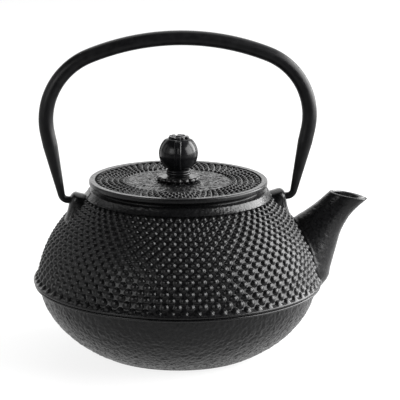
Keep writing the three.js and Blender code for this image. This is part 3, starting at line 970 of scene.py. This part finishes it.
def make_infuser_band():
    """A ring with an L-shaped section round the bottom of the basket."""
    low, high, reach = band_low[2], band_high[2], band_high[1]
    sheet, inside = 0.6, 34.0
    outline = np.vstack([
        [(inside + 0.2, low), (reach - 0.8, low)],
        arc((reach - 0.7, low + 0.7), 0.7, -75, 0, 6),
        [(reach, high - 0.15), (reach - 0.15, high)],
        [(reach - sheet + 0.15, high), (reach - sheet, high - 0.15)],
        [(reach - sheet, low + sheet + 0.2), (reach - sheet - 0.2, low + sheet)],
        [(inside + 0.2, low + sheet), (inside, low + sheet / 2)],
    ])
    make_turned_sheet("infuser_base_ring", outline, ["infuser_base_band"])


def wire(points, side, radius, closed):
    """Rings of a wire along these points; side is a unit vector for each point, square to the wire."""
    points, side = np.asarray(points), np.asarray(side)
    if closed:
        tangent = np.roll(points, -1, 0) - np.roll(points, 1, 0)
    else:
        tangent = np.gradient(points, axis=0)
    tangent = tangent / np.linalg.norm(tangent, axis=1, keepdims=True)
    other = np.cross(tangent, side)
    angle = 2 * np.pi * np.arange(WIRE_SIDES) / WIRE_SIDES
    return points[:, None] + radius * (
        side[:, None] * np.cos(angle)[None, :, None] + other[:, None] * np.sin(angle)[None, :, None]
    )


def woven(name, wires, node):
    """One mesh of all these wires, given as (rings, closed)."""
    vertices, faces, count = [], [], 0
    for rings, closed in wires:
        ends = None if closed else [rings[0].mean(0), rings[-1].mean(0)]
        points, made = skin(rings, ends)
        vertices.append(points)
        faces += [[i + count for i in face] for face in made]
        count += len(points)
    made = new_object(name, np.vstack(vertices), faces, steel_mesh)
    return finish_piece(made, "infuser", [node])


def make_sleeve():
    """The basket's wall: upright wires woven through level hoops."""
    low, high, outer = sleeve_low[2], sleeve_high[2], sleeve_high[1]
    wire_radius = 0.125
    middle = outer - 2 * wire_radius
    around = 2 * round(math.pi * middle / WIRE_PITCH)
    hoops = round((high - low) / WIRE_PITCH)
    heights = low + wire_radius + (high - low - 2 * wire_radius) * np.arange(hoops + 1) / hoops
    wires = []
    for k in range(around):
        angle = 2 * np.pi * k / around
        out = np.array([math.cos(angle), math.sin(angle), 0])
        z = np.linspace(heights[0], heights[-1], 2 * hoops + 1)
        wave = middle + wire_radius * np.cos(np.pi * (np.arange(2 * hoops + 1) / 2 + k))
        points = out * wave[:, None] + np.array([0, 0, 1]) * z[:, None]
        wires.append((wire(points, np.tile(out, (len(points), 1)), wire_radius, False), False))
    angle = np.pi * np.arange(2 * around) / around
    out = np.stack([np.cos(angle), np.sin(angle), 0 * angle], 1)
    for k, z in enumerate(heights):
        wave = middle - wire_radius * np.cos(np.pi * (np.arange(2 * around) / 2 + k))
        points = out * wave[:, None] + np.array([0, 0, z])
        wires.append((wire(points, out, wire_radius, True), True))
    woven("infuser_mesh_wall", wires, "infuser_sleeve")


def make_base_mesh():
    """The basket's bottom: two sets of straight wires woven through each other."""
    low, high, reach = disc_low[2], disc_high[2], disc_high[1]
    wire_radius = (high - low) / 4
    middle = (low + high) / 2
    lines = int(reach / WIRE_PITCH)
    wires = []
    for direction in (0, 1):
        for k in range(-lines, lines + 1):
            offset = k * WIRE_PITCH
            half = math.sqrt(max(reach**2 - offset**2, 0)) - wire_radius
            steps = int(half / (WIRE_PITCH / 2))
            if steps < 2:
                continue
            place = np.arange(-steps, steps + 1)
            wave = middle + wire_radius * np.cos(np.pi * (place / 2 + k + direction))
            run, flat = place * WIRE_PITCH / 2, 0 * place + offset
            points = np.stack([run, flat, wave] if direction == 0 else [flat, run, wave], 1)
            up = np.tile([0.0, 0, 1], (len(points), 1))
            wires.append((wire(points, up, wire_radius, False), False))
    woven("infuser_mesh_base", wires, "infuser_base_mesh")


make_infuser_rim()
make_infuser_band()
make_sleeve()
make_base_mesh()


# ---- Floor, light and camera ----

CENTRE = Vector((0, 0, 0.087))
CAMERA_AZIMUTH = math.radians(-6)
CAMERA_ELEVATION = math.radians(13.35)
CAMERA_DISTANCE = 1.126
CAMERA_ROLL = math.radians(0.3)
CAMERA_LENS = 177.2
CAMERA_SHIFT = 0.0545
FLOOR_GREY = 0.17
FLOOR_GLOW = 0.82
GLOW_STARTS_Y = -0.4
GLOW_FULL_Y = -0.11
STUDIO_STRENGTH = 2.2
STUDIO_DARK_TO_Y, STUDIO_WHITE_FROM_Y = 0.6, 0.95
LIGHT_AIM = (0, 0, 0.06)


def make_floor():
    """A pale floor that glows towards the back, where it meets the white studio."""
    material, nodes, links, shader = new_material("floor_white")
    shader.inputs["Base Color"].default_value = (FLOOR_GREY, FLOOR_GREY, FLOOR_GREY, 1)
    shader.inputs["Roughness"].default_value = 0.8
    shader.inputs["Specular IOR Level"].default_value = 0.1
    shader.inputs["Emission Color"].default_value = (1, 1, 1, 1)
    place = nodes.new("ShaderNodeTexCoord")
    split = nodes.new("ShaderNodeSeparateXYZ")
    glow = nodes.new("ShaderNodeMapRange")
    glow.inputs["From Min"].default_value = GLOW_STARTS_Y
    glow.inputs["From Max"].default_value = GLOW_FULL_Y
    glow.inputs["To Max"].default_value = FLOOR_GLOW
    links.new(place.outputs["Object"], split.inputs["Vector"])
    links.new(split.outputs["Y"], glow.inputs["Value"])
    links.new(glow.outputs["Result"], shader.inputs["Emission Strength"])
    reach = 6000.0
    corners = [(-reach, -reach, 0), (reach, -reach, 0), (reach, reach, 0), (-reach, reach, 0)]
    floor = new_object("floor", corners, [[0, 1, 2, 3]], material)


def add_light(name, place, aim, width, height, power):
    """A rectangular light at a place in metres, aimed at a point. Its power is in watts."""
    light = bpy.data.lights.new(name, "AREA")
    light.shape = "RECTANGLE"
    light.size, light.size_y = width, height
    light.energy = power
    made = bpy.data.objects.new(name, light)
    made.location = place
    made.rotation_euler = (Vector(aim) - Vector(place)).to_track_quat("-Z", "Y").to_euler()
    bpy.context.scene.collection.objects.link(made)


def light_world():
    """A studio that is white behind the pot, and dark overhead and on the camera's side."""
    world = bpy.data.worlds.new("studio")
    world.use_nodes = True
    bpy.context.scene.world = world
    nodes, links = world.node_tree.nodes, world.node_tree.links
    place = nodes.new("ShaderNodeTexCoord")
    split = nodes.new("ShaderNodeSeparateXYZ")
    ramp = nodes.new("ShaderNodeValToRGB")
    ramp.color_ramp.elements[0].position = STUDIO_DARK_TO_Y
    ramp.color_ramp.elements[0].color = (0.02, 0.02, 0.02, 1)
    ramp.color_ramp.elements[1].position = STUDIO_WHITE_FROM_Y
    ramp.color_ramp.elements[1].color = (1, 1, 1, 1)
    links.new(place.outputs["Generated"], split.inputs["Vector"])
    links.new(split.outputs["Y"], ramp.inputs["Fac"])
    links.new(ramp.outputs["Color"], nodes["Background"].inputs["Color"])
    nodes["Background"].inputs["Strength"].default_value = STUDIO_STRENGTH


def make_camera():
    """A long lens in front of the pot, slightly above it."""
    camera = bpy.data.cameras.new("camera")
    camera.sensor_width = 36
    camera.lens = CAMERA_LENS
    camera.shift_x = CAMERA_SHIFT
    camera.clip_start, camera.clip_end = 0.05, 30
    back = Vector((
        math.sin(CAMERA_AZIMUTH) * math.cos(CAMERA_ELEVATION),
        -math.cos(CAMERA_AZIMUTH) * math.cos(CAMERA_ELEVATION),
        math.sin(CAMERA_ELEVATION),
    ))
    made = bpy.data.objects.new("camera", camera)
    turn = (-back).to_track_quat("-Z", "Y").to_matrix().to_4x4()
    place = Matrix.Translation(CENTRE + back * CAMERA_DISTANCE)
    made.matrix_world = place @ turn @ Matrix.Rotation(CAMERA_ROLL, 4, "Z")
    bpy.context.scene.collection.objects.link(made)
    bpy.context.scene.camera = made


make_floor()
light_world()
add_light("right_softbox", (1.05, -0.03, 0.48), LIGHT_AIM, 1.7, 0.9, 83)
add_light("left_softbox", (-1.05, -0.05, 0.45), LIGHT_AIM, 1.4, 0.7, 4.5)
add_light("left_front_softbox", (-0.86, -0.75, 0.5), LIGHT_AIM, 0.6, 0.6, 7)
add_light("top_softbox", (0.1, 0.6, 1.1), (0, 0, 0.05), 1.2, 0.8, 8)
make_camera()
bpy.context.scene.view_settings.view_transform = "Standard"
